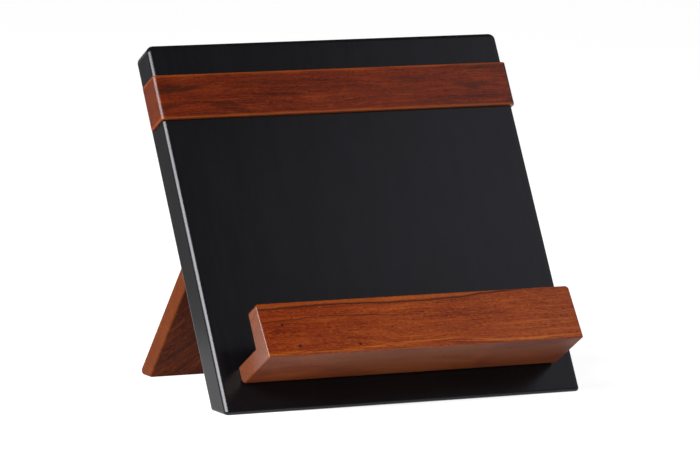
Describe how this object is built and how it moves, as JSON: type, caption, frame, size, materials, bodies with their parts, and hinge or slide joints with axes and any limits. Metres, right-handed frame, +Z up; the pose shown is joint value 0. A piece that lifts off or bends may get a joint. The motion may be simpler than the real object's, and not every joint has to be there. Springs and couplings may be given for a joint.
{
  "type": "book display stand",
  "caption": "Folding wooden easel stand with a leaning panel, a lipped ledge that holds an open book and a hinged rear leg.",
  "frame": {"origin": "middle of the board's flat foot, on the table", "axes": "+Z up, +Y towards the back where the leg stands, +X to the right of a reader in front"},
  "size_m": [0.2834, 0.2349, 0.2473],
  "materials": {
    "black_wood": "satin black-stained solid wood",
    "band_wood": "oiled reddish-brown hardwood",
    "ledge_wood": "oiled reddish-brown hardwood",
    "leg_wood": "oiled reddish-brown hardwood",
    "hinge_brass": "aged brass",
    "hinge_pin_steel": "plain drawn wire",
    "screw_brass": "brass",
    "screw_black": "black phosphate"
  },
  "bodies": {
    "board": {"board": "black_wood", "band": "band_wood", "ledge": "ledge_wood", "ledge_screws": "screw_black", "board_hinge_screws": "screw_brass", "hinge_left_board_leaf": "hinge_brass", "hinge_right_board_leaf": "hinge_brass", "hinge_left_pin": "hinge_pin_steel", "hinge_right_pin": "hinge_pin_steel"},
    "leg": {"leg": "leg_wood", "leg_hinge_screws": "screw_brass", "hinge_left_leg_leaf": "hinge_brass", "hinge_right_leg_leaf": "hinge_brass"}
  },
  "joints": [
    {"name": "leg_fold", "type": "hinge", "parent": "board", "child": "leg", "pos_m": [0, 0.0769, 0.10259], "axis": [-1, 0, 0], "range_deg": [0, 71]}
  ]
}
